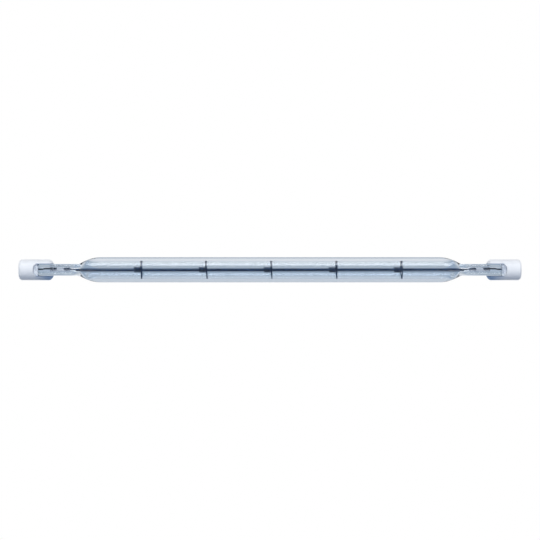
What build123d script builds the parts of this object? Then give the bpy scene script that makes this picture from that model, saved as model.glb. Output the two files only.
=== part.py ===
from build123d import *
import os
from math import atan2, degrees

# A double-ended linear halogen lamp, in millimetres. The lamp lies along X with its centre at the
# origin, +Z is up, and the broad faces of its two pinched ends look along Y.

# Quartz tube and its drawn-in shoulders
TUBE_DIAMETER = 9.5
TUBE_WALL = 1.2
STRAIGHT_LENGTH = 127.0
SHOULDER_LENGTH = 9.2          # from the straight tube to where the dome would close on the axis
SHOULDER_NOSE = 3.0            # radius to which the shoulder tightens at the blade
CAVITY_NOSE = 2.4
CAVITY_SETBACK = 0.4           # how much sooner the dome of the cavity closes
THROAT_DIAMETER = 2.0          # narrow end of the cavity, round the lead
THROAT_LENGTH = 3.4
THROAT_TIP_CLEARANCE = 0.07    # round the lead, where the cavity ends

# Pinched blade, an H in section with a rail along each edge
PINCH_START = 2.5              # from the straight tube to where the jaws began to press it
PINCH_RUN = 6.5                # length over which the jaws slope in
PINCH_NIP = 0.7                # how far inside the blade's face that slope ends
CAVITY_PINCH_RUN = 5.5
BLADE_LENGTH = 14.3            # beyond the closed dome
BLADE_WIDTH = 4.4
BLADE_THICKNESS = 2.9
BLADE_CORNER = 0.5
RAIL_WIDTH = 1.1
PANEL_DEPTH = 0.4              # of the sunk panel between the rails, on either face
PANEL_SETBACK = 1.5            # from the closed dome to the sunk panel
PANEL_CORNER = 0.35
THROAT_WALL = 0.6              # quartz left over the cavity where the blade begins

# Filament coil
COIL_DIAMETER = 1.25
COIL_WIRE = 0.19
COIL_SETBACK = 1.8             # from the tip of the cavity to the end of the coil

# Wire supports that carry the coil on the axis
SUPPORT_COUNT = 5
SUPPORT_SPACING = 24.5
SUPPORT_WIRE = 0.36
SUPPORT_HALF_TURNS = 7
SUPPORT_PITCH = 0.62
WINDING_CLEARANCE = 0.015      # between the coil and the turns round it
RING_CLEARANCE = 0.08          # between the ring and the bore of the tube
RING_SWEEP = 300.0             # degrees
RING_OFFSET = 0.6              # from the middle of the support to its ring
RING_LEAVES_AT = 150.0         # degrees round the axis, where the wire leaves the coil

# Leads and sealing foils
LEAD_DIAMETER = 0.7
COIL_LAP = 1.6                 # length of the inner lead inside the coil
WELD_FLAT_DEPTH = 0.1          # flat pressed on each lead, where the foil is welded on
INNER_WELD_LAP = 2.3
OUTER_WELD_LAP = 2.4
FOIL_WIDTH = 2.0
FOIL_THICKNESS = 0.05
FOIL_SETBACK = 0.3             # from the tip of the cavity to the foil
FOIL_END_SETBACK = 4.1         # from the foil to the end of the blade

# Ceramic end caps and the cement in them
CAP_DIAMETER = 7.85
CAP_LENGTH = 12.9
CAP_LAP = 5.35                 # length of the blade inside the cap
CAP_OUTER_FILLET = 1.25
CAP_INNER_FILLET = 1.4
SLOT_CLEARANCE = 0.15
SLOT_CORNER = 1.6
CEMENT_BED = 2.0               # between the end of the blade and the bottom of the slot
CEMENT_LAP = 0.6               # how far the cement comes up round the blade
CEMENT_SQUEEZE = 1.1           # how far the cement stands out over each face of the blade

# Sunk contact buttons, each flush with the floor of its recess
RECESS_DIAMETER = 4.5
RECESS_DEPTH = 1.7
RECESS_FILLET = 0.3
CONTACT_DIAMETER = 3.6
CONTACT_THICKNESS = 0.7
CONTACT_CLEARANCE = 0.1
CONTACT_EDGE = 0.15
SHANK_DIAMETER = 1.7
SHANK_LENGTH = 2.0
SHANK_CLEARANCE = 0.05
LEAD_CLEARANCE = 0.02

# Radii
tube_radius = TUBE_DIAMETER / 2
bore_radius = tube_radius - TUBE_WALL
coil_radius = COIL_DIAMETER / 2
winding_radius = coil_radius + WINDING_CLEARANCE + SUPPORT_WIRE / 2
ring_radius = bore_radius - RING_CLEARANCE - SUPPORT_WIRE / 2

# Places along the lamp, measured from its centre towards the right end
straight_end = STRAIGHT_LENGTH / 2
dome_tip = straight_end + SHOULDER_LENGTH
pinch_start = straight_end + PINCH_START
cavity_dome_tip = dome_tip - CAVITY_SETBACK
throat_start = dome_tip - THROAT_DIAMETER / 2
throat_tip = throat_start + THROAT_LENGTH
blade_end = dome_tip + BLADE_LENGTH
coil_end = throat_tip - COIL_SETBACK
foil_start = throat_tip + FOIL_SETBACK
foil_end = blade_end - FOIL_END_SETBACK
cap_start = blade_end - CAP_LAP
cap_end = cap_start + CAP_LENGTH
slot_bottom = blade_end + CEMENT_BED
contact_face = cap_end - RECESS_DEPTH
pocket_floor = contact_face - CONTACT_THICKNESS
shank_end = pocket_floor - SHANK_LENGTH

# The foil lies on the far side of the leads, against the flats pressed on them
foil_near = LEAD_DIAMETER / 2 - WELD_FLAT_DEPTH


def rod(diameter, start, end):
    """A round rod along the lamp between two places."""
    middle = (start + end) / 2
    return Pos(middle, 0, 0) * Rot(0, 90, 0) * Cylinder(diameter / 2, end - start)


def block(start, end, depth, height):
    """A block along the lamp, centred on its axis."""
    return Pos((start + end) / 2, 0, 0) * Box(end - start, depth, height)


def mirrored(shape):
    """The same piece at the lamp's other end."""
    return mirror(shape, Plane.YZ)


def domed_rod(radius, dome_end, nose_radius):
    """A rod over the whole straight tube, drawn in at either end by an arc and a rounded nose."""
    dome = dome_end - straight_end
    nose_centre = dome - nose_radius
    side_radius = (nose_centre**2 + radius**2 - nose_radius**2) / (2 * (radius - nose_radius))
    side = Vector(nose_centre, side_radius - radius).normalized() * nose_radius
    nose_angle = degrees(atan2(side.Y, side.X))
    joint = (straight_end + nose_centre + side.X, side.Y)
    nose_tip = (dome_end, 0)
    outline = [
        Line((0, 0), (0, radius)),
        Line((0, radius), (straight_end, radius)),
        TangentArc((straight_end, radius), joint, tangent=(1, 0)),
        CenterArc((straight_end + nose_centre, 0), nose_radius, 0, nose_angle),
        Line(nose_tip, (0, 0)),
    ]
    half = revolve(make_face(Plane.XZ * Wire(outline)), Axis.X)
    return half + mirrored(half)


def pressed(start_half, run, end_half):
    """What is left between the pinching jaws, which slope in over a run from a wall's radius."""
    slope = (start_half - end_half) / run
    clear_half = start_half + slope * PINCH_START
    right = [(straight_end, clear_half), (pinch_start + run, end_half), (blade_end, end_half)]
    left = [(-place, half) for place, half in reversed(right)]
    upper = [*left, *right]
    lower = [(place, -half) for place, half in reversed(upper)]
    outline = make_face(Polyline(*upper, *lower, close=True))
    return extrude(outline, TUBE_DIAMETER, both=True)


def blade():
    """One pinched end: a flat blade with a rail along each edge and a sunk panel on either face."""
    body = block(straight_end, blade_end, BLADE_THICKNESS, BLADE_WIDTH)
    body = fillet(body.edges().filter_by(Axis.X), BLADE_CORNER)
    panel_start = dome_tip + PANEL_SETBACK
    panel_length = blade_end - panel_start + PANEL_CORNER
    panel = Box(panel_length, 2 * PANEL_DEPTH, BLADE_WIDTH - 2 * RAIL_WIDTH)
    panel = fillet(panel.edges().filter_by(Axis.Y), PANEL_CORNER)
    middle = panel_start + panel_length / 2
    face = BLADE_THICKNESS / 2
    return body - Pos(middle, face, 0) * panel - Pos(middle, -face, 0) * panel


def cavity():
    """The sealed inside of the lamp, drawn in to a narrow throat round each lead."""
    tip_radius = LEAD_DIAMETER / 2 + THROAT_TIP_CLEARANCE
    throat = Rot(0, 90, 0) * Cone(THROAT_DIAMETER / 2, tip_radius, THROAT_LENGTH)
    throat = Pos((throat_start + throat_tip) / 2, 0, 0) * throat
    inside = domed_rod(bore_radius, cavity_dome_tip, CAVITY_NOSE) + throat + mirrored(throat)
    return inside & pressed(bore_radius, CAVITY_PINCH_RUN, BLADE_THICKNESS / 2 - THROAT_WALL)


def quartz_envelope():
    """The tube, its shoulders and both blades, pressed tight round the foils and leads."""
    jaws = pressed(tube_radius, PINCH_RUN, BLADE_THICKNESS / 2 - PINCH_NIP)
    body = domed_rod(tube_radius, dome_tip, SHOULDER_NOSE) & jaws
    body = body + blade() + mirrored(blade()) - cavity()
    for metal in (inner_lead(), foil(), outer_lead()):
        body = body - metal - mirrored(metal)
    return body


def filament():
    """The tungsten coil, as the sleeve that its close turns fill."""
    inner_diameter = COIL_DIAMETER - 2 * COIL_WIRE
    return rod(COIL_DIAMETER, -coil_end, coil_end) - rod(inner_diameter, -coil_end, coil_end)


def bent_wire(start, centre, axis, angle):
    """A length of support wire, bent round a centre from where it starts."""
    along = axis.cross(start - centre)
    section = Plane(start, z_dir=along) * Circle(SUPPORT_WIRE / 2)
    return revolve(section, Axis(centre, axis), angle)


def support():
    """A wire wound round the coil, that then swings out to an open ring in the tube's bore."""
    wire = []
    side = 1
    for half_turn in range(SUPPORT_HALF_TURNS):
        place = (half_turn - SUPPORT_HALF_TURNS) * SUPPORT_PITCH / 2
        start = Vector(place, 0, side * winding_radius)
        centre = Vector(place + SUPPORT_PITCH / 4, 0, 0)
        tilted = Vector(winding_radius, 0, side * SUPPORT_PITCH / 4)
        wire.append(bent_wire(start, centre, tilted, 180))
        side = -side

    # Half a circle that touches both the winding and the ring, and then the ring
    swing_centre = Vector(0, 0, side * (winding_radius - ring_radius) / 2)
    along_lamp = Vector(1, 0, 0)
    wire.append(bent_wire(Vector(0, 0, side * winding_radius), swing_centre, along_lamp, 180))
    ring_start = Vector(0, 0, -side * ring_radius)
    wire.append(bent_wire(ring_start, Vector(0, 0, 0), along_lamp, RING_SWEEP))
    return Rot(RING_LEAVES_AT, 0, 0) * wire[0].fuse(*wire[1:])


def lead(start, end, weld_start, weld_end):
    """A wire on the lamp's axis, pressed flat on the side where the foil is welded to it."""
    flat = Pos(0, foil_near + LEAD_DIAMETER / 2, 0)
    flat *= block(weld_start, weld_end, LEAD_DIAMETER, LEAD_DIAMETER)
    return rod(LEAD_DIAMETER, start, end) - flat


def inner_lead():
    """The wire from inside the end of the coil to the foil."""
    end = foil_start + INNER_WELD_LAP
    return lead(coil_end - COIL_LAP, end, foil_start, end)


def outer_lead():
    """The wire from the foil, out of the blade and through the cement, to the contact."""
    start = foil_end - OUTER_WELD_LAP
    return lead(start, pocket_floor, start, foil_end)


def foil():
    """The thin strip that carries the current through the gas-tight pinch."""
    strip = block(foil_start, foil_end, FOIL_THICKNESS, FOIL_WIDTH)
    return Pos(0, foil_near + FOIL_THICKNESS / 2, 0) * strip


def slot():
    """The slot through the cap that the blade stands in, rounded at its bottom."""
    width = BLADE_WIDTH + 2 * SLOT_CLEARANCE
    body = block(cap_start - SLOT_CORNER, slot_bottom, 2 * CAP_DIAMETER, width)
    bottom = body.edges().filter_by(Axis.Y).group_by(Axis.X)[-1]
    return fillet(bottom, SLOT_CORNER)


def end_cap():
    """A round ceramic cap: slot at one end, contact recess at the other and a bore between."""
    body = rod(CAP_DIAMETER, cap_start, cap_end)
    rims = body.edges().filter_by(GeomType.CIRCLE).sort_by(Axis.X)
    body = fillet(rims[0], CAP_INNER_FILLET)
    rims = body.edges().filter_by(GeomType.CIRCLE).sort_by(Axis.X)
    body = fillet(rims[-1], CAP_OUTER_FILLET)
    body -= rod(RECESS_DIAMETER, contact_face, cap_end)
    mouth = body.edges().filter_by(GeomType.CIRCLE).group_by(Axis.X)[-1].sort_by(SortBy.RADIUS)[0]
    rim_width = CAP_DIAMETER / 2 - CAP_OUTER_FILLET - RECESS_DIAMETER / 2
    body = fillet(mouth, min(RECESS_FILLET, 0.8 * rim_width))
    body -= rod(CONTACT_DIAMETER + 2 * CONTACT_CLEARANCE, pocket_floor, contact_face)
    body -= rod(SHANK_DIAMETER + 2 * SHANK_CLEARANCE, slot_bottom, pocket_floor)
    return body - slot()


def cement():
    """The cement that beds the end of the blade in the bottom of the slot."""
    depth = BLADE_THICKNESS + 2 * CEMENT_SQUEEZE
    bed = slot() & block(blade_end - CEMENT_LAP, slot_bottom, depth, CAP_DIAMETER)
    return bed - blade() - outer_lead()


def contact():
    """The metal button at the bottom of the recess, with a hollow shank over the lead."""
    head = rod(CONTACT_DIAMETER, pocket_floor, contact_face)
    rim = head.edges().filter_by(GeomType.CIRCLE).sort_by(Axis.X)[-1]
    head = fillet(rim, CONTACT_EDGE)
    shank = rod(SHANK_DIAMETER, shank_end, pocket_floor)
    shank -= rod(LEAD_DIAMETER + 2 * LEAD_CLEARANCE, shank_end, pocket_floor)
    return head + shank


def write(name, shape):
    """Write one piece, as a file of its own."""
    export_step(shape, f"parts/{name}.step")


os.makedirs("parts", exist_ok=True)

write("quartz_envelope", quartz_envelope())
write("filament", filament())

one_support = support()
for number in range(1, SUPPORT_COUNT + 1):
    middle = (number - (SUPPORT_COUNT + 1) / 2) * SUPPORT_SPACING
    write(f"support_{number}", Pos(middle + RING_OFFSET, 0, 0) * one_support)

end_pieces = {
    "inner_lead": inner_lead(),
    "foil": foil(),
    "outer_lead": outer_lead(),
    "end_cap": end_cap(),
    "cement": cement(),
    "contact": contact(),
}
for name, piece in end_pieces.items():
    write(f"right_{name}", piece)
    write(f"left_{name}", mirrored(piece))
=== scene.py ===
# %% [markdown]
# # A linear halogen bulb
#
# The bulb is a clear quartz tube with a long coiled filament on its axis. Five wire supports keep
# the coil in the middle. Both ends of the tube are pinched flat round a strip of metal foil, and a
# white ceramic cap is cemented on each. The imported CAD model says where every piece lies, so each
# piece below is made in that frame, in place, and stands for its CAD node. Sizes are in millimetres
# times MM, which makes them metres.

from math import cos, pi, radians, sin, sqrt

import bmesh
import bpy
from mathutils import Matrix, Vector


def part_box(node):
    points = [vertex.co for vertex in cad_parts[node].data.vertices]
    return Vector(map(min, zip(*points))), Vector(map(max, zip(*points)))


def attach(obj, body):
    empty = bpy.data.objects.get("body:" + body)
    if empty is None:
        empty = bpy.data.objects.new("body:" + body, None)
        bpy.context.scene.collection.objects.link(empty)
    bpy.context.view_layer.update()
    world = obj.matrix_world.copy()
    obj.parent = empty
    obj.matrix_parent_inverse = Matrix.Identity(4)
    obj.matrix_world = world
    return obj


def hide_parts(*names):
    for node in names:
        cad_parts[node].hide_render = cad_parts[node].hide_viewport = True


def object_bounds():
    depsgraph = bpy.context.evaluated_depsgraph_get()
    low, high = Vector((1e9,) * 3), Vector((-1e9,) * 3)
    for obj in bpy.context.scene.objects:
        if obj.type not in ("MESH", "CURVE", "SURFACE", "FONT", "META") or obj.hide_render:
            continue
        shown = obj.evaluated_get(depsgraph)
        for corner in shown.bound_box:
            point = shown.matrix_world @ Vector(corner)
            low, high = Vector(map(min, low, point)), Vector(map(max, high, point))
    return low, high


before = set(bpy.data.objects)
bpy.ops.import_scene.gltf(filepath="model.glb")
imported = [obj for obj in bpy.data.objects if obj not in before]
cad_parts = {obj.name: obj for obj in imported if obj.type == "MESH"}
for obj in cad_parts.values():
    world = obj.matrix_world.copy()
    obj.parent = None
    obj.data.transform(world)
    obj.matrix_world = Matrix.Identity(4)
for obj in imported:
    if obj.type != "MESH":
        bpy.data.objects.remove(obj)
cad_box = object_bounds()
MM = 0.001
print("CAD box in mm:", [round(value / MM, 2) for corner in cad_box for value in corner])

# %% [markdown]
# ## Places taken from the CAD model
#
# The box of a CAD node gives the sizes that the new pieces have to keep. They are read here, not
# typed again, so the looks follow the model.

# %% Measure the CAD nodes
def reach(node, axis):
    """How far a node reaches from the middle of the lamp along X, Y or Z."""
    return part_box(node)[1]["XYZ".index(axis)]


tube_radius = reach("quartz_envelope", "Z")
coil_radius = reach("filament", "Z")
coil_end = reach("filament", "X")
cap_radius = reach("right_end_cap", "Z")
cap_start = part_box("right_end_cap")[0].x
cap_end = reach("right_end_cap", "X")
slot_bottom = reach("right_cement", "X")
contact_face = reach("right_contact", "X")
radii = (tube_radius, coil_radius, cap_radius)
print("tube, coil and cap diameters in mm:", [round(2 * radius / MM, 2) for radius in radii])

# %% [markdown]
# ## Working in edit mode from code
#
# By hand, one selects faces with the mouse and then extrudes or bevels them. In a script they are
# selected by their place. Small helpers do that: open_new puts the object at the origin and opens
# its mesh, pick selects what passes a test, and close ends the editing. The other two apply a
# modifier and make the copy for the lamp's other end.

# %% Helpers for edit mode
def alone(piece):
    """Select one object and nothing else."""
    bpy.ops.object.select_all(action="DESELECT")
    piece.select_set(True)
    bpy.context.view_layer.objects.active = piece


def open_new(name):
    """Name the primitive just added, fix its place in its mesh and open it in edit mode."""
    piece = bpy.context.active_object
    piece.name = piece.data.name = name
    alone(piece)
    bpy.ops.object.transform_apply(location=True, rotation=True, scale=True)
    bpy.ops.object.mode_set(mode="EDIT")
    bpy.ops.mesh.select_all(action="SELECT")
    return piece


def pick(piece, test, kind="VERT"):
    """Select the vertices, edges or faces of the open mesh whose middle passes a test."""
    bpy.ops.mesh.select_mode(type=kind)
    bpy.ops.mesh.select_all(action="DESELECT")
    mesh = bmesh.from_edit_mesh(piece.data)
    items = {"VERT": mesh.verts, "EDGE": mesh.edges, "FACE": mesh.faces}[kind]
    for item in items:
        corners = [item] if kind == "VERT" else item.verts
        middle = sum((corner.co for corner in corners), Vector()) / len(corners)
        if test(middle):
            item.select_set(True)
    mesh.select_flush_mode()
    bmesh.update_edit_mesh(piece.data)


def close(piece, smooth=40):
    """Leave edit mode and shade smoothly across all but sharp edges."""
    bpy.ops.object.mode_set(mode="OBJECT")
    alone(piece)
    bpy.ops.object.shade_smooth_by_angle(angle=radians(smooth))
    triangles = sum(len(face.vertices) - 2 for face in piece.data.polygons)
    print(f"{piece.name}: {triangles} triangles")
    return piece


def apply_modifier(piece, kind, **settings):
    """Add a modifier, set it and apply it."""
    alone(piece)
    modifier = piece.modifiers.new(kind.title(), kind)
    for key, value in settings.items():
        setattr(modifier, key, value)
    bpy.ops.object.modifier_apply(modifier=modifier.name)


def turned_copy(piece, name):
    """The same piece at the lamp's other end, turned half round about Z, with its own mesh."""
    alone(piece)
    bpy.ops.object.duplicate()
    copy = open_new(name)
    bpy.ops.transform.rotate(value=pi, orient_axis="Z", center_override=(0, 0, 0))
    bpy.ops.object.mode_set(mode="OBJECT")
    return copy


# %% [markdown]
# ## The quartz tube
#
# The real tube is drawn, heated near its ends and pressed between jaws. Its section goes from round
# to oval to a flat blade. It could be cut from a turned body with two planes, as the CAD model does,
# but that leaves hard edges that molten quartz never has. So one ring is extruded along the lamp and
# scaled at each place, which lets the section flow.
#
# The two functions that follow give half the depth and half the height of the section. The height
# falls as the shoulder is drawn in, and the jaws press the depth down along a slope. The rounded
# minimum of the two has no crease.

# %% Profile of the tube along the lamp
STRAIGHT_END = 63.5
DOME_TIP = 72.7
DOME_NOSE = 3.0
BORE_RADIUS = 3.55
BORE_TIP = 72.85
BORE_SLOPE = 0.88
JAW_START = 66.0
OUTER_JAW_SLOPE = 0.615
INNER_JAW_SLOPE = 0.49
THROAT_START = 71.7
THROAT_RADIUS = 0.84
THROAT_SLOPE = 0.09


def dome(place, radius, tip, nose):
    """Radius of the drawn-in shoulder at a place, as two arcs that meet without a corner."""
    centre = tip - STRAIGHT_END - nose
    side = (centre**2 + radius**2 - nose**2) / (2 * (radius - nose))
    along = place - STRAIGHT_END
    if along <= 0:
        return radius
    joint = centre + nose * centre / sqrt(centre**2 + (side - radius)**2)
    if along <= joint:
        return radius - side + sqrt(side**2 - along**2)
    return sqrt(max(nose**2 - (along - centre)**2, 0))


def soft_min(a, b, blend):
    """The smaller of two numbers, with the corner between them rounded off."""
    overlap = max(blend - abs(a - b), 0) / blend
    return min(a, b) - overlap * overlap * blend / 4


def soft_max(a, b, blend):
    """The larger of two numbers, with the corner between them rounded off."""
    return -soft_min(-a, -b, blend)


def outer_ring(place):
    """Half the depth and half the height of the tube's outside, in mm."""
    height = dome(place, tube_radius / MM, DOME_TIP, DOME_NOSE)
    jaw = tube_radius / MM - (place - JAW_START) * OUTER_JAW_SLOPE
    return soft_min(height, jaw, 0.9), height


def inner_ring(place):
    """Half the depth and half the height of the cavity, in mm."""
    height = soft_min(BORE_RADIUS, (BORE_TIP - place) * BORE_SLOPE, 0.5)
    throat = THROAT_RADIUS - (place - THROAT_START) * THROAT_SLOPE
    jaw = BORE_RADIUS - (place - JAW_START) * INNER_JAW_SLOPE
    depth = soft_min(height, jaw, 0.8)
    if place > THROAT_START - 0.5:
        height = soft_max(height, throat, 0.25)
        depth = min(max(depth, throat), height)
    return depth, height


for name, ring in (("outside", outer_ring), ("cavity", inner_ring)):
    print(name, "at 71 mm, half depth and height:", [round(value, 2) for value in ring(71.0)])

# %% Helpers that draw a ring along the lamp
def draw_ring(sections):
    """Extrude the selected ring to each (place, depth, height) in turn and scale it there."""
    for (x0, depth0, height0), (x1, depth1, height1) in zip(sections, sections[1:]):
        move = {"value": ((x1 - x0) * MM, 0, 0)}
        bpy.ops.mesh.extrude_region_move(TRANSFORM_OT_translate=move)
        scale = (1, depth1 / depth0, height1 / height0)
        bpy.ops.transform.resize(value=scale, center_override=(x1 * MM, 0, 0))


def add_ring(place, radius, corners):
    """Add a round ring about the lamp's axis, with nothing inside it."""
    bpy.ops.mesh.primitive_circle_add(
        vertices=corners, radius=radius * MM, fill_type="NOTHING",
        location=(place * MM, 0, 0), rotation=(0, pi / 2, 0))


def both_ways(sections):
    """Sections from the left end to the right end, from those of the right half."""
    return [(-place, depth, height) for place, depth, height in reversed(sections)] + sections


def shoulder_places(last):
    """Places by even steps from the end of the straight tube to a last place."""
    steps = round((last - STRAIGHT_END) / SHOULDER_STEP)
    return [STRAIGHT_END + step * SHOULDER_STEP for step in range(steps + 1)]


# %% Draw the outside of the tube
RING_CORNERS = 128
SHOULDER_STEP = 0.25
outside = both_ways([(place, *outer_ring(place)) for place in shoulder_places(71.0)])

add_ring(outside[0][0], 1.0, RING_CORNERS)
quartz = open_new("quartz_body")
bpy.ops.transform.resize(
    value=(1, outside[0][1], outside[0][2]), center_override=(outside[0][0] * MM, 0, 0))
draw_ring(outside)
print("rings along the tube:", len(outside))

# %% [markdown]
# Each end is a blade with a rail along both edges and a sunk panel between them, on either face. It
# starts as a rectangle with rounded corners. Its long edges, short edges and corners are divided
# into 64, 32 and 32 points, as many as the tube's ring has, so that the two can be bridged with an
# even flow. The panel is then pressed in by small steps.

# %% Press the blades
BLADE_DEPTH = 2.9
BLADE_HEIGHT = 4.4
BLADE_ROOT = 73.4
END_GAP = 1.5
blade_end = slot_bottom - END_GAP * MM
bpy.ops.mesh.primitive_plane_add(size=MM, location=(blade_end, 0, 0), rotation=(0, pi / 2, 0))
bpy.ops.transform.resize(value=(1, BLADE_DEPTH, BLADE_HEIGHT), center_override=(blade_end, 0, 0))
bpy.ops.mesh.delete(type="ONLY_FACE")
pick(quartz, lambda at: at.x > blade_end - 0.1 * MM)
bpy.ops.mesh.bevel(offset=0.95 * MM, segments=8, affect="VERTICES")


def pick_long_edges(side_on_y):
    """Select the two straight edges of the blade's outline that face Y, or that face Z."""
    def test(at):
        on_y = abs(at.y) > (BLADE_DEPTH / 2 - 0.01) * MM and abs(at.z) < 0.1 * MM
        on_z = abs(at.z) > (BLADE_HEIGHT / 2 - 0.01) * MM and abs(at.y) < 0.1 * MM
        return at.x > blade_end - 0.1 * MM and (on_y if side_on_y else on_z)
    pick(quartz, test, "EDGE")


pick_long_edges(True)
bpy.ops.mesh.subdivide(number_cuts=31)
pick_long_edges(False)
bpy.ops.mesh.subdivide(number_cuts=15)
pick(quartz, lambda at: at.x > blade_end - 0.1 * MM)
points = bmesh.from_edit_mesh(quartz.data).verts
print("points round the blade:", sum(1 for point in points if point.select))

# %% Draw the blade towards the tube and sink its panels
PANEL_HALF_HEIGHT = 1.32
PANEL_TAPER = 0.11
PANEL_STEP = 0.09
end = blade_end / MM
rounded_end = [(0, 0.8, 0.6), (0.1, 0.92, 0.74), (0.25, 0.98, 0.85), (0.55, 1, 0.94), (1.0, 1, 1)]
bpy.ops.transform.resize(value=(1, 0.8, 0.6), center_override=(blade_end, 0, 0))
bpy.ops.mesh.edge_face_add()
pick(quartz, lambda at: at.x > blade_end - 0.1 * MM, "EDGE")
draw_ring([(end - back, depth, height) for back, depth, height in rounded_end])
panel_steps = [74.9, 74.65, 74.4, 74.15, 73.9]
draw_ring([(place, 1, 1) for place in (end - 1.0, 80.0, *panel_steps, BLADE_ROOT)])

for step, place in enumerate(panel_steps):
    half_height = PANEL_HALF_HEIGHT - PANEL_TAPER * (4 - step)
    for side in (-1, 1):
        def in_panel(at, side=side, place=place, half_height=half_height):
            deep = at.x > (place - 0.05) * MM and abs(at.z) < half_height * MM
            return deep and side * at.y > 0.4 * MM
        pick(quartz, in_panel)
        bpy.ops.transform.translate(value=(0, -side * PANEL_STEP * MM, 0))

pick(quartz, lambda at: at.x > (BLADE_ROOT - 0.1) * MM)
bpy.ops.mesh.duplicate()
bpy.ops.transform.rotate(value=pi, orient_axis="Z", center_override=(0, 0, 0))

# %% Bridge the blades to the tube
tube_edge = outside[-1][0]
for side in (-1, 1):
    def on_open_rings(at, side=side):
        place = side * at.x / MM
        return min(abs(place - tube_edge), abs(place - BLADE_ROOT)) < 0.01
    pick(quartz, on_open_rings, "EDGE")
    bpy.ops.mesh.bridge_edge_loops(
        number_cuts=9, interpolation="SURFACE", smoothness=1.0, profile_shape_factor=0)

bpy.ops.mesh.select_all(action="SELECT")
bpy.ops.mesh.remove_doubles(threshold=0.001 * MM)
bpy.ops.mesh.normals_make_consistent(inside=False)
bpy.ops.object.mode_set(mode="OBJECT")

# %% [markdown]
# The cavity is drawn in the same way, as a second closed skin inside the first. Its faces have to
# look into the cavity, away from the quartz, so that light bends the right way as it leaves the
# glass. It narrows to a throat round each lead, and its last ring closes inside the lead.

# %% Draw the cavity and join it to the outside
THROAT_POINT = 0.25
cavity_places = shoulder_places(72.25) + [72.6, 73.2, 74.0, 75.0]
inside = [(place, *inner_ring(place)) for place in cavity_places]
inside += [(75.12, 0.4, 0.4), (75.16, THROAT_POINT, THROAT_POINT)]
inside = both_ways(inside)

bpy.ops.object.select_all(action="DESELECT")
add_ring(inside[0][0], THROAT_POINT, 96)
cavity = open_new("cavity_skin")
bpy.ops.mesh.edge_face_add()
pick(cavity, lambda at: True, "EDGE")
draw_ring(inside)
bpy.ops.mesh.edge_face_add()
bpy.ops.mesh.select_all(action="SELECT")
bpy.ops.mesh.normals_make_consistent(inside=False)
bpy.ops.mesh.flip_normals()
bpy.ops.object.mode_set(mode="OBJECT")

alone(quartz)
cavity.select_set(True)
bpy.ops.object.join()
close(quartz)


def open_edges(piece):
    """How many edges of a mesh don't lie between exactly two faces."""
    mesh = bmesh.new()
    mesh.from_mesh(piece.data)
    count = sum(1 for edge in mesh.edges if len(edge.link_faces) != 2)
    mesh.free()
    return count


print("open edges of the quartz:", open_edges(quartz))

# %% [markdown]
# ## The filament
#
# The real coil is one tungsten wire wound into about 520 close turns. The Screw modifier sweeps the
# wire's section round the axis and along it, which is just what winding does. The finished coil is
# lowered a little, because its weight makes it sag between the supports.

# %% Wind the filament
COIL_WIRE = 0.22
COIL_PITCH = 0.28
COIL_SAG = 0.04
coil_turns = round((2 * coil_end / MM - COIL_WIRE) / COIL_PITCH)
coil_start = -coil_turns * COIL_PITCH / 2

bpy.ops.object.select_all(action="DESELECT")
bpy.ops.mesh.primitive_circle_add(
    vertices=6, radius=COIL_WIRE / 2 * MM, fill_type="NOTHING",
    location=(coil_start * MM, 0, coil_radius - COIL_WIRE / 2 * MM), rotation=(pi / 2, 0, 0))
filament = open_new("filament_coil")
bpy.ops.object.mode_set(mode="OBJECT")
apply_modifier(
    filament, "SCREW", axis="X", screw_offset=COIL_PITCH * MM, iterations=coil_turns,
    steps=14, render_steps=14, use_smooth_shade=True)
alone(filament)
bpy.ops.object.mode_set(mode="EDIT")
bpy.ops.mesh.select_all(action="SELECT")
bpy.ops.mesh.fill_holes(sides=6)
bpy.ops.mesh.normals_make_consistent(inside=False)
bpy.ops.transform.translate(value=(0, 0, -COIL_SAG * MM))
close(filament, 60)
print("turns:", coil_turns, "open edges:", open_edges(filament))

# %% [markdown]
# ## The wire supports
#
# Each support is one wire. It is wound five and a half times round the coil, swings out, runs once
# round the bore as an open ring and ends in a small curl. Bending by hand is a chain of spins: the
# wire's end is selected, and each spin carries it round one bend and leaves the new end selected. A
# half turn of a helix is a spin about an axis that leans by a quarter of the pitch.

# %% Bend one support
SUPPORT_WIRE = 0.36
WIRE_CORNERS = 10
WINDING_RADIUS = 0.88
RING_RADIUS = 3.29
HALF_TURNS = 11
SUPPORT_PITCH = 0.47
RING_PITCH = 0.4
CURL_RADIUS = 0.21
CURL_ANGLE = 300


def bend(centre, axis, angle, steps):
    """Carry the selected end of the wire round one bend."""
    bpy.ops.mesh.spin(
        steps=steps, angle=radians(angle), use_auto_merge=False,
        center=[value * MM for value in centre], axis=axis)


def bend_half_turn(radius, pitch, start, side, steps):
    """Half a turn of a helix about the lamp's axis, from above the axis (side 1) or below it."""
    tilted = Vector((radius, 0, side * pitch / 4)).normalized()
    bend((start + pitch / 4, 0, 0), tilted, 180, steps)


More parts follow.
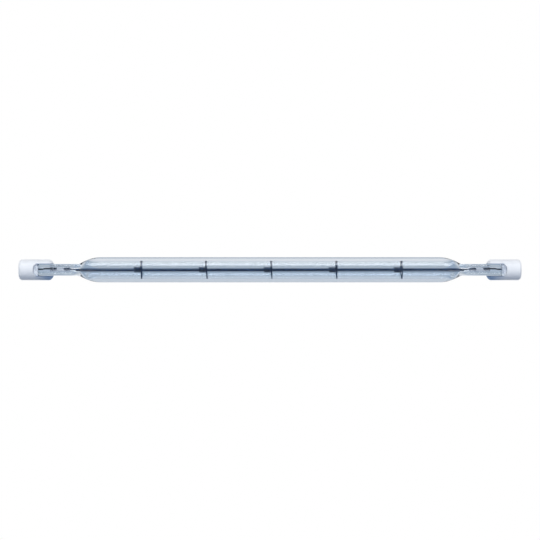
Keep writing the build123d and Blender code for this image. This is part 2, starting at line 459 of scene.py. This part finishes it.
def bend_support(name, middle, lean):
    """One support: winding, swing and ring. The ring leans a little out of square with the tube."""
    bpy.ops.object.select_all(action="DESELECT")
    start = -HALF_TURNS * SUPPORT_PITCH / 2
    bpy.ops.mesh.primitive_circle_add(
        vertices=WIRE_CORNERS, radius=SUPPORT_WIRE / 2 * MM, fill_type="NOTHING",
        location=(start * MM, 0, WINDING_RADIUS * MM), rotation=(pi / 2, 0, 0))
    wire = open_new(name)
    side = 1
    for half_turn in range(HALF_TURNS):
        turn_start = start + half_turn * SUPPORT_PITCH / 2
        bend_half_turn(WINDING_RADIUS, SUPPORT_PITCH, turn_start, side, 14)
        side = -side
    bend((0, 0, side * (WINDING_RADIUS - RING_RADIUS) / 2), (1, 0, 0), 180, 18)
    bend_half_turn(RING_RADIUS, RING_PITCH, 0, -side, 34)
    bend_half_turn(RING_RADIUS, RING_PITCH, RING_PITCH / 2, side, 34)
    bend((RING_PITCH, 0, RING_RADIUS - CURL_RADIUS), (1, 0, 0), CURL_ANGLE, 14)
    bpy.ops.mesh.select_all(action="SELECT")
    bpy.ops.mesh.fill_holes(sides=WIRE_CORNERS)
    bpy.ops.mesh.normals_make_consistent(inside=False)
    pick(wire, lambda at: at.x > -0.3 * MM and sqrt(at.y**2 + at.z**2) > 1.1 * MM)
    bpy.ops.transform.rotate(value=radians(lean), orient_axis="Y", center_override=(0, 0, 0))
    bpy.ops.mesh.select_all(action="SELECT")
    bpy.ops.transform.translate(value=(middle, 0, 0))
    return close(wire, 60)


supports = []
leans = [0.5, 4.0, 2.5, 1.5, 1.5]
for number, lean in enumerate(leans, start=1):
    ring_place = reach(f"support_{number}", "X") - (0.18 + RING_PITCH / 2) * MM
    supports.append(bend_support(f"support_wire_{number}", ring_place, lean))
for name, corner in (("drawn", supports[0].bound_box[0]), ("CAD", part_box("support_1")[0])):
    print("low corner of the first support in mm,", name, [round(value / MM, 2) for value in corner])

# %% [markdown]
# ## Leads and sealing foils
#
# Current reaches the coil through a wire, a foil as thin as paper that the quartz can grip without
# cracking, and another wire. The wires are drawn as rings with the squeezed spots that welds leave.
# In the blade they lie a little above its middle, so they are bent upwards there in small steps. The
# foil starts as a thin block, and its long edges are thinned, as on a real sealing foil.

# %% Draw the leads
LEAD_RADIUS = 0.28


def draw_lead(name, sections):
    """A wire on the lamp's axis from (place, depth, height) sections, closed at both ends."""
    bpy.ops.object.select_all(action="DESELECT")
    add_ring(sections[0][0], 1.0, 24)
    wire = open_new(name)
    first = sections[0]
    bpy.ops.transform.resize(value=(1, first[1], first[2]), center_override=(first[0] * MM, 0, 0))
    bpy.ops.mesh.edge_face_add()
    pick(wire, lambda at: True, "EDGE")
    draw_ring(sections)
    bpy.ops.mesh.edge_face_add()
    bpy.ops.mesh.select_all(action="SELECT")
    bpy.ops.mesh.normals_make_consistent(inside=False)
    return close(wire)


def rounded_rod(start, end, spots):
    """Sections of a wire with softly rounded ends and a squeezed spot at each given place."""
    squeezed = [(-0.5, 1), (-0.25, 0.93), (0, 0.72), (0.25, 0.93), (0.5, 1)]
    places = [(start, 0.8), (start + 0.05, 0.95), (start + 0.15, 1)]
    for spot in spots:
        places += [(spot + along, share) for along, share in squeezed]
    places += [(end - 0.15, 1), (end - 0.05, 0.95), (end, 0.8)]
    return [(place, LEAD_RADIUS * share, LEAD_RADIUS * share) for place, share in places]


inner_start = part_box("right_inner_lead")[0].x / MM
inner_end = reach("right_inner_lead", "X") / MM
outer_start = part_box("right_outer_lead")[0].x / MM
outer_end = reach("right_outer_lead", "X") / MM
inner_spots = [73.2, 75.4]
outer_spots = [outer_start + 1.2, 85.5, 88.0]
inner_lead = draw_lead("inner_lead_right", rounded_rod(inner_start, inner_end, inner_spots))
outer_lead = draw_lead("outer_lead_right", rounded_rod(outer_start, outer_end, outer_spots))


def lift(piece, rises):
    """Bend a wire upwards in steps: all that lies beyond each place goes up by a little more."""
    for place, height in rises:
        pick(piece, lambda at, place=place: at.x > place * MM)
        bpy.ops.transform.translate(value=(0, 0, height * MM))


LEAD_RISE = 0.42
for wire, rises in (
        (inner_lead, [(72.4, 0.08), (72.9, 0.1), (73.5, 0.1), (75.0, 0.08), (75.6, 0.06)]),
        (outer_lead, [(0, LEAD_RISE), (85.1, -0.1), (85.7, -0.11), (87.6, -0.11), (88.2, -0.1)])):
    alone(wire)
    bpy.ops.object.mode_set(mode="EDIT")
    lift(wire, rises)
    bpy.ops.object.mode_set(mode="OBJECT")

# %% Roll the foil
foil_low, foil_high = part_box("right_foil")
foil_middle = (foil_low + foil_high) / 2
foil_size = foil_high - foil_low
bpy.ops.object.select_all(action="DESELECT")
foil_middle.z += LEAD_RISE * MM
bpy.ops.mesh.primitive_cube_add(size=1, location=foil_middle, scale=foil_size)
foil = open_new("sealing_foil_right")
pick(foil, lambda at: abs(at.z - foil_middle.z) < 0.1 * MM, "EDGE")
bpy.ops.mesh.subdivide(number_cuts=11)
for half_height, share in ((0.95, 0.25), (0.8, 0.55), (0.62, 0.8)):
    pick(foil, lambda at, h=half_height: abs(at.z - foil_middle.z) > h * MM)
    bpy.ops.transform.resize(value=(1, share, 1), center_override=foil_middle)
bpy.ops.mesh.select_all(action="SELECT")
bpy.ops.mesh.normals_make_consistent(inside=False)
close(foil, 30)
print("open edges of the foil:", open_edges(foil))

# %% [markdown]
# ## The ceramic caps
#
# Each cap is pressed and fired steatite: a short round body with a sunk contact at its outer end and
# a slot right through for the blade. The body is a cylinder whose rims are bevelled. The recess, the
# pocket for the contact and the hole for the lead are inset and extruded into its end, one after the
# other. The slot is cut with a rounded block.

# %% Press one cap
bpy.ops.object.select_all(action="DESELECT")
bpy.ops.mesh.primitive_cylinder_add(
    vertices=96, radius=cap_radius, depth=cap_end - cap_start,
    location=((cap_start + cap_end) / 2, 0, 0), rotation=(0, pi / 2, 0))
cap = open_new("ceramic_cap_right")


def at_end(x):
    """A test for what lies in the plane across the lamp at x."""
    return lambda at: abs(at.x - x) < 0.01 * MM


def off_axis(at):
    """How far a point lies from the lamp's axis."""
    return sqrt(at.y**2 + at.z**2)


OUTER_RIM = 1.25
pick(cap, at_end(cap_end), "EDGE")
bpy.ops.mesh.bevel(offset=OUTER_RIM * MM, segments=10)
pick(cap, at_end(cap_start), "EDGE")
bpy.ops.mesh.bevel(offset=1.6 * MM, segments=10, profile=0.4)

RECESS_RADIUS = 2.25
POCKET_LEDGE = 0.35
HOLE_LEDGE = 1.0
HOLE_DEPTH = 4.0
BUTTON_DEPTH = 0.7
pick(cap, lambda at: at_end(cap_end)(at) and off_axis(at) < 1 * MM, "FACE")
for ledge, depth in (
        (cap_radius / MM - OUTER_RIM - RECESS_RADIUS, (cap_end - contact_face) / MM),
        (POCKET_LEDGE, BUTTON_DEPTH), (HOLE_LEDGE, HOLE_DEPTH)):
    bpy.ops.mesh.inset(thickness=ledge * MM)
    bpy.ops.mesh.extrude_region_move(TRANSFORM_OT_translate={"value": (-depth * MM, 0, 0)})
mouth = RECESS_RADIUS * MM
pick(cap, lambda at: at_end(cap_end)(at) and abs(off_axis(at) - mouth) < 0.02 * MM, "EDGE")
bpy.ops.mesh.bevel(offset=0.28 * MM, segments=5)
bpy.ops.object.mode_set(mode="OBJECT")

# %% Cut the slot
CUTTER = 12
slot_half = reach("right_cement", "Z") - 0.1 * MM
bpy.ops.object.select_all(action="DESELECT")
bpy.ops.mesh.primitive_cube_add(
    size=1, location=(slot_bottom - CUTTER / 2 * MM, 0, 0),
    scale=(CUTTER * MM, CUTTER * MM, 2 * slot_half))
cutter = open_new("slot_cutter")
pick(cutter, lambda at: at_end(slot_bottom)(at) and abs(at.z) > 1 * MM, "EDGE")
bpy.ops.mesh.bevel(offset=1.6 * MM, segments=12)
bpy.ops.object.mode_set(mode="OBJECT")
apply_modifier(cap, "BOOLEAN", operation="DIFFERENCE", solver="EXACT", object=cutter)
bpy.data.objects.remove(cutter)
alone(cap)
bpy.ops.object.mode_set(mode="EDIT")
bpy.ops.mesh.select_all(action="SELECT")
bpy.ops.mesh.remove_doubles(threshold=0.004 * MM)
close(cap, 35)
print("open edges of the cap:", open_edges(cap))

# %% [markdown]
# ## The cement
#
# White cement beds the blade's end in the bottom of the slot, where it shows as a bright crescent.
# It is squeezed out over the glass and dries lumpy, so the block is shortened to a crescent, divided
# finely, softened and pushed about with a noise.

# %% Fill in the cement
cement_low, cement_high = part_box("right_cement")
cement_middle = (cement_low + cement_high) / 2
bpy.ops.object.select_all(action="DESELECT")
bpy.ops.mesh.primitive_cube_add(size=1, location=cement_middle, scale=cement_high - cement_low)
cement = open_new("cement_bed_right")
bpy.ops.transform.resize(value=(0.6, 0.8, 1.04), center_override=(slot_bottom, 0, 0))
pick(cement, lambda at: at_end(slot_bottom)(at) and abs(at.z) > 1 * MM, "EDGE")
bpy.ops.mesh.bevel(offset=1.2 * MM, segments=6)
bpy.ops.mesh.select_all(action="SELECT")
bpy.ops.object.mode_set(mode="OBJECT")
apply_modifier(cement, "REMESH", mode="VOXEL", voxel_size=0.16 * MM)
apply_modifier(cement, "SMOOTH", factor=0.5, iterations=8)
lumps = bpy.data.textures.new("lumps", "CLOUDS")
lumps.noise_scale = 1.1 * MM
apply_modifier(
    cement, "DISPLACE", texture=lumps, texture_coords="LOCAL", strength=0.9 * MM, mid_level=0.42)
close(cement, 60)

# %% [markdown]
# ## The contacts
#
# A nickel-plated button with a hollow shank sits flush in its pocket. Its face has the small dimple
# of the punch that riveted it on to the lead.

# %% Turn one contact
bpy.ops.object.select_all(action="DESELECT")
bpy.ops.mesh.primitive_cylinder_add(
    vertices=64, radius=1.8 * MM, depth=BUTTON_DEPTH * MM,
    location=(contact_face - BUTTON_DEPTH / 2 * MM, 0, 0), rotation=(0, pi / 2, 0))
contact = open_new("contact_button_right")
pick(contact, at_end(contact_face), "EDGE")
bpy.ops.mesh.bevel(offset=0.15 * MM, segments=4)
pick(contact, lambda at: at_end(contact_face)(at) and off_axis(at) < 1 * MM, "FACE")
bpy.ops.mesh.inset(thickness=0.95 * MM)
bpy.ops.mesh.inset(thickness=0.12 * MM)
bpy.ops.transform.translate(value=(-0.1 * MM, 0, 0))
bpy.ops.mesh.inset(thickness=0.25 * MM)
bpy.ops.transform.translate(value=(-0.08 * MM, 0, 0))
button_back = contact_face - BUTTON_DEPTH * MM
pick(contact, lambda at: at_end(button_back)(at) and off_axis(at) < 1 * MM, "FACE")
bpy.ops.mesh.inset(thickness=0.95 * MM)
bpy.ops.mesh.extrude_region_move(TRANSFORM_OT_translate={"value": (-2.0 * MM, 0, 0)})
bpy.ops.mesh.inset(thickness=0.45 * MM)
bpy.ops.mesh.extrude_region_move(TRANSFORM_OT_translate={"value": (1.9 * MM, 0, 0)})
close(contact, 30)
print("open edges of the contact:", open_edges(contact))

# %% [markdown]
# ## The left end
#
# Both ends are alike, so the left ones are copies turned half round about Z. The foil keeps to the
# far side of the leads at both ends, so it is mirrored instead.

# %% Copy the end pieces
ends = {}
for stem, piece in (("inner_lead", inner_lead), ("foil", foil), ("outer_lead", outer_lead),
                    ("end_cap", cap), ("cement", cement), ("contact", contact)):
    ends["right_" + stem] = piece
    name = piece.name.replace("right", "left")
    if stem == "foil":
        alone(piece)
        bpy.ops.object.duplicate()
        copy = open_new(name)
        bpy.ops.transform.mirror(constraint_axis=(True, False, False), center_override=(0, 0, 0))
        bpy.ops.mesh.normals_make_consistent(inside=False)
        close(copy, 30)
    else:
        copy = turned_copy(piece, name)
    ends["left_" + stem] = copy
print("end pieces:", sorted(ends))

# %% [markdown]
# ## Writing materials as expressions
#
# A material is a network of nodes. Wired by hand it soon becomes hard to read, so a small class
# stands for one socket and turns plain arithmetic into Math nodes.

# %% The socket class
class Socket:
    """An output of a node. Arithmetic with it adds Math nodes."""

    def __init__(self, finish, output):
        self.finish = finish
        self.output = output

    def math(self, operation, first, second):
        return self.finish.node("ShaderNodeMath", {"operation": operation}, {0: first, 1: second})

    def __add__(self, other):
        return self.math("ADD", self, other)

    def __rsub__(self, other):
        return self.math("SUBTRACT", other, self)

    def __mul__(self, other):
        return self.math("MULTIPLY", self, other)

    def __truediv__(self, other):
        return self.math("DIVIDE", self, other)


class Finish:
    """The nodes of one material, or of the world."""

    def __init__(self, owner):
        owner.use_nodes = True
        self.owner = owner
        self.tree = owner.node_tree
        self.tree.nodes.clear()

    def node(self, kind, settings=None, sockets=None, output=0):
        """Add a node: first its settings, then a value or a link for each of its sockets."""
        node = self.tree.nodes.new(kind)
        for key, value in (settings or {}).items():
            if key == "stops":
                stops = node.color_ramp.elements
                stops[0].position, stops[1].position = value[0][0], value[-1][0]
                for place, colour in value[1:-1]:
                    stops.new(place)
                for stop, (place, colour) in zip(stops, value):
                    stop.color = (*colour, 1)
            else:
                setattr(node, key, value)
        for key, value in (sockets or {}).items():
            if isinstance(value, Socket):
                self.tree.links.new(value.output, node.inputs[key])
            else:
                node.inputs[key].default_value = value
        return Socket(self, node.outputs[output]) if len(node.outputs) else None

    def place(self, scale=(1, 1, 1)):
        """The place on the object in mm, stretched by a scale for each axis."""
        at = self.node("ShaderNodeTexCoord", output=3)
        scale = [value / MM for value in scale]
        return self.node("ShaderNodeVectorMath", {"operation": "MULTIPLY"}, {0: at, 1: scale})

    def noise(self, size, detail=3, stretch=(1, 1, 1)):
        """A noise from 0 to 1 whose features are about a size in mm."""
        at = self.place(stretch)
        return self.node("ShaderNodeTexNoise", {}, {"Vector": at, "Scale": 1 / size, "Detail": detail})

    def ramp(self, value, *stops):
        """A grey value put through colour stops."""
        return self.node("ShaderNodeValToRGB", {"stops": stops}, {"Fac": value})

    def mix(self, share, first, second):
        """Two colours mixed by a share from 0 to 1."""
        sockets = {0: share, 6: first, 7: second}
        return self.node("ShaderNodeMix", {"data_type": "RGBA"}, sockets, output=2)

    def bump(self, height, distance, strength=1.0):
        """A normal that follows a height, given in mm."""
        sockets = {"Height": height, "Distance": distance * MM, "Strength": strength}
        return self.node("ShaderNodeBump", {}, sockets)

    def surface(self, **sockets):
        """The shader: socket names with a _ for a space."""
        named = {key.replace("_", " "): value for key, value in sockets.items()}
        shader = self.node("ShaderNodeBsdfPrincipled", {}, named)
        self.node("ShaderNodeOutputMaterial", {}, {"Surface": shader})
        return self.owner


def rgb(red, green, blue):
    """A colour as a socket takes it."""
    return (red, green, blue, 1)


def new_finish(name):
    """The empty node network of a new material."""
    return Finish(bpy.data.materials.new(name))


# %% [markdown]
# ## Quartz
#
# Clear fused quartz bends light a little less than window glass. Drawing leaves faint streaks along
# the tube, and the pressed blades keep a slight ripple from the jaws. Both are shallow bumps.

# %% Quartz finish
f = new_finish("clear_quartz")
streaks = f.noise(1.4, 2, stretch=(0.02, 1, 1))
ripple = f.noise(2.2, 2, stretch=(0.6, 1, 1))
tint = f.mix(f.noise(9, 2), rgb(0.93, 0.96, 0.985), rgb(0.95, 0.972, 0.99))
quartz_finish = f.surface(
    Base_Color=tint, Roughness=0.0, IOR=1.458, Transmission_Weight=1.0,
    Normal=f.bump(streaks * 0.85 + ripple * 0.15, 0.001, 0.02))

# %% [markdown]
# ## Tungsten and molybdenum
#
# Tungsten wire comes from the drawing die dark, with fine lines along it, and takes a blue cast as
# it is heated. Molybdenum leads are oxidised in spots. The rolled foil is pale. The tint of a metal's
# grazing reflections is set as well, or they would be white and make the thin wires look grey.

# %% Metal finishes
def wire_finish(name, dark, light, roughness, grain):
    """A drawn metal wire: two colours in patches, and a roughness that goes with them."""
    f = new_finish(name)
    patches = f.noise(grain, 4)
    fine = f.noise(grain / 8, 2)
    return f.surface(
        Base_Color=f.mix(patches, rgb(*dark), rgb(*light)), Metallic=1.0,
        Specular_Tint=rgb(0.25, 0.4, 0.65),
        Roughness=patches * 0.15 + roughness, Normal=f.bump(fine, 0.01, 0.5))


tungsten_coil = wire_finish("coiled_tungsten", (0.028, 0.062, 0.14), (0.048, 0.09, 0.18), 0.55, 1.2)
tungsten_wire = wire_finish("support_tungsten", (0.014, 0.034, 0.075), (0.034, 0.062, 0.12), 0.4, 0.9)
molybdenum = wire_finish("oxidised_molybdenum", (0.012, 0.03, 0.065), (0.036, 0.062, 0.115), 0.4, 0.7)

f = new_finish("rolled_foil")
rolled = f.noise(0.5, 3, stretch=(0.15, 1, 1))
patches = f.noise(1.6, 3)
foil_finish = f.surface(
    Base_Color=f.mix(patches, rgb(0.76, 0.79, 0.84), rgb(0.88, 0.9, 0.94)), Metallic=0.35,
    Roughness=rolled * 0.2 + 0.32, Normal=f.bump(rolled, 0.02, 0.6))

# %% Contact finish
f = new_finish("nickel_plate")
wear = f.noise(0.8, 4)
fine = f.noise(0.15, 2)
contact_finish = f.surface(
    Base_Color=f.mix(wear, rgb(0.62, 0.58, 0.5), rgb(0.82, 0.8, 0.76)), Metallic=1.0,
    Roughness=wear * 0.2 + 0.18, Normal=f.bump(fine, 0.008, 0.5))

# %% [markdown]
# ## Ceramic and cement
#
# Steatite is fired without a glaze: an even, faintly warm white with a fine grain that only shows in a
# raking light. The walls of the slot are painted dark blue-grey as painted shade. The lower prong is
# painted bluish as painted shade under it, strongest towards its mouth. Cement is rough, bluish grey
# and white in random patches.

# %% Ceramic finishes
f = new_finish("white_steatite")
grain = f.noise(0.22, 4)
cloud = f.noise(3.5, 3)


def along(f, axis):
    """The place along an axis, in mm."""
    return f.node("ShaderNodeSeparateXYZ", {}, {0: f.place()}, output="XYZ".index(axis))


def fade(f, value, start, end):
    """From 0 to 1 as a value goes from start to end, softly at both."""
    return f.node("ShaderNodeMapRange", {"interpolation_type": "SMOOTHSTEP"}, {
        "Value": value, "From Min": start, "From Max": end, "To Min": 0.0, "To Max": 1.0})


def span(f, axis, start, end):
    """From 0 to 1 as the distance from the middle along an axis goes from start to end, in mm."""
    place = along(f, axis)
    return fade(f, place.math("ABSOLUTE", place, 0), start, end)


fired = f.mix(cloud, rgb(0.86, 0.85, 0.84), rgb(0.93, 0.915, 0.9))
# Painted shade: the walls of the slot are painted dark blue-grey, for the shade that falls in the
# slot.
slot_shade_mask = (1 - span(f, "Z", 2.3, 2.6)) * (1 - span(f, "X", 87.4, 88.4))
# Painted shade: the underside of the cap is painted bluish, strongest at its mouth, for the shade
# under the lower prong.
lower_prong_shade_mask = fade(f, along(f, "Z"), -1.9, -2.7) * (1 - span(f, "X", 81.5, 90))
painted_prong_shade = f.mix(lower_prong_shade_mask, fired, rgb(0.26, 0.38, 0.56))
cap_finish = f.surface(
    Base_Color=f.mix(slot_shade_mask, painted_prong_shade, rgb(0.24, 0.32, 0.44)), Specular_IOR_Level=0.3,
    Roughness=cloud * 0.12 + 0.5, Normal=f.bump(grain, 0.02, 0.5))

f = new_finish("white_cement")
coarse = f.noise(0.35, 5)
lumpy = f.ramp(f.noise(1.3, 3), (0.4, (0, 0, 0)), (0.6, (1, 1, 1)))
cement_finish = f.surface(
    Base_Color=f.mix(lumpy, rgb(0.62, 0.67, 0.74), rgb(0.93, 0.94, 0.96)),
    Roughness=coarse * 0.3 + 0.3, Normal=f.bump(coarse, 0.1, 0.8))

# %% [markdown]
# ## Which piece stands for which node
#
# Every piece rides on the one body and replaces its CAD node.

# %% Dress the lamp
def dress(piece, node, finish):
    """Give a piece its finish, put it on the lamp's body and hide the CAD node it replaces."""
    piece.data.materials.clear()
    piece.data.materials.append(finish)
    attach(piece, "root")
    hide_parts(node)


dress(quartz, "quartz_envelope", quartz_finish)
dress(filament, "filament", tungsten_coil)
for number, wire in enumerate(supports, start=1):
    dress(wire, f"support_{number}", tungsten_wire)
for side in ("left", "right"):
    dress(ends[f"{side}_inner_lead"], f"{side}_inner_lead", molybdenum)
    dress(ends[f"{side}_outer_lead"], f"{side}_outer_lead", molybdenum)
    dress(ends[f"{side}_foil"], f"{side}_foil", foil_finish)
    dress(ends[f"{side}_end_cap"], f"{side}_end_cap", cap_finish)
    dress(ends[f"{side}_cement"], f"{side}_cement", cement_finish)
    dress(ends[f"{side}_contact"], f"{side}_contact", contact_finish)

# %% [markdown]
# ## Studio
#
# The bulb lies on a plain pale floor. The camera sees the floor and the surroundings as white, as in a
# product shot. The quartz shows what is round it, so what it sees is graded. The floor glows bright in
# front and grey-blue under and behind the tube. Just before the tube, a dark strip in its glow is a
# painted shadow of the bulb. In front of the tube, away from the caps, the glow is darkened further as
# painted shade. The room is a soft grey-blue that is brighter above. One long softbox lights the glass
# and the metal from above, and another lights the matt caps from the front.

# %% Floor
bpy.ops.object.select_all(action="DESELECT")
bpy.ops.mesh.primitive_plane_add(size=8, location=(0, 0, cad_box[0][2] - 0.02 * MM))
floor = bpy.context.active_object
floor.name = floor.data.name = "studio_floor"
f = new_finish("pale_floor")
to_camera = f.node("ShaderNodeLightPath", output=0)
depth = f.node("ShaderNodeSeparateXYZ", {}, {0: f.place()}, output=1)
FLOOR_REACH = 60
# Painted shadow: a dark strip in the floor's glow just before the tube stands for the bulb's shadow.
PAINTED_SHADOW_STRIP = (0.07, 0.12, 0.22)
seen_by_lamp = f.ramp(
    depth / (2 * FLOOR_REACH) + 0.5,
    (0.25, (1.1, 1.15, 1.24)), (0.38, (0.9, 0.97, 1.08)), (0.42, PAINTED_SHADOW_STRIP),
    (0.48, PAINTED_SHADOW_STRIP), (0.49, (0.62, 0.67, 0.74)), (0.55, (0.58, 0.64, 0.72)),
    (0.6, (0.48, 0.56, 0.66)), (0.66, (0.34, 0.43, 0.54)), (1.0, (0.34, 0.42, 0.53)))
beside = span(f, "X", 85, 91)
nearness = f.node("ShaderNodeMapRange", {}, {"Value": depth, "From Min": -4.0, "From Max": -2.0})
front_shade_mask = 1 - nearness
# Painted shade: in front of the tube, away from the caps, the floor's glow is darkened towards dark
# blue.
shade = f.mix(front_shade_mask * (1 - beside) * 0.8, seen_by_lamp, rgb(0.1, 0.16, 0.28))
shade = f.mix(to_camera, shade, rgb(1, 1, 1))
emitted = f.node("ShaderNodeEmission", {}, {"Color": shade, "Strength": 1.0})
f.node("ShaderNodeOutputMaterial", {}, {"Surface": emitted})
floor.data.materials.append(f.owner)

# %% Room
world = bpy.data.worlds.new("studio_room")
bpy.context.scene.world = world
f = Finish(world)
to_camera = f.node("ShaderNodeLightPath", output=0)
direction = f.node("ShaderNodeTexCoord", output=0)
upward = f.node("ShaderNodeSeparateXYZ", {}, {0: direction}, output=2)
backward = f.node("ShaderNodeSeparateXYZ", {}, {0: direction}, output=1)
back_wall = f.ramp(
    upward, (0.0, (0.43, 0.49, 0.56)), (0.1, (0.45, 0.51, 0.58)), (0.28, (0.66, 0.69, 0.73)),
    (0.6, (0.75, 0.77, 0.82)), (1.0, (0.8, 0.82, 0.86)))
front_wall = f.ramp(
    upward, (0.0, (0.2, 0.27, 0.38)), (0.6, (0.34, 0.4, 0.5)), (1.0, (0.8, 0.82, 0.86)))
room = f.mix(fade(f, backward, -0.25, 0.25), front_wall, back_wall)
shade = f.mix(to_camera, room, rgb(1, 1, 1))
background = f.node("ShaderNodeBackground", {}, {"Color": shade, "Strength": 1.0})
f.node("ShaderNodeOutputWorld", {}, {"Surface": background})


# %% Softboxes
def softbox(name, brightness, length, width, azimuth, elevation, distance, on_matt):
    """A long soft light on matt surfaces, or on glass and metal, from an azimuth and elevation."""
    lamp = bpy.data.lights.new(name, "AREA")
    lamp.shape = "RECTANGLE"
    lamp.size, lamp.size_y = length, width
    lamp.energy = brightness * pi * length * width
    lamp.color = (0.96, 0.98, 1.0)
    holder = bpy.data.objects.new(name, lamp)
    bpy.context.scene.collection.objects.link(holder)
    a, e = radians(azimuth), radians(elevation)
    towards = Vector((sin(a) * cos(e), -cos(a) * cos(e), sin(e)))
    holder.location = towards * distance
    holder.rotation_euler = towards.to_track_quat("Z", "Y").to_euler()
    holder.visible_camera = False
    holder.visible_diffuse = on_matt
    holder.visible_glossy = holder.visible_transmission = not on_matt


softbox("streak_softbox", 4.6, 1.8, 0.31, 0, 59, 0.6, on_matt=False)
softbox("key_softbox", 1.75, 1.8, 0.56, 0, 9, 0.6, on_matt=True)

# %% [markdown]
# ## Camera
#
# The photo looks straight at the lamp from the side with a long lens, a degree or two above level.
# The distance follows from the lens and from the lamp's length in the frame, which shows 203.7 mm.

# %% Camera
FRAME_WIDTH = 203.7 * MM
LENS = 124.0
ELEVATION = 1.5
lens = bpy.data.cameras.new("camera")
lens.lens = LENS
lens.sensor_width = 36.0
lens.clip_start = 0.01
camera = bpy.data.objects.new("camera", lens)
bpy.context.scene.collection.objects.link(camera)
distance = FRAME_WIDTH * LENS / lens.sensor_width
aim = Vector((0, 0, -0.07 * MM))
away = Vector((0, -cos(radians(ELEVATION)), sin(radians(ELEVATION))))
camera.location = aim + away * distance
camera.rotation_euler = away.to_track_quat("Z", "Y").to_euler()
bpy.context.scene.camera = camera
bpy.context.scene.view_settings.view_transform = "Standard"
bpy.context.scene.view_settings.look = "None"
print("camera distance in mm:", round(distance / MM, 1))
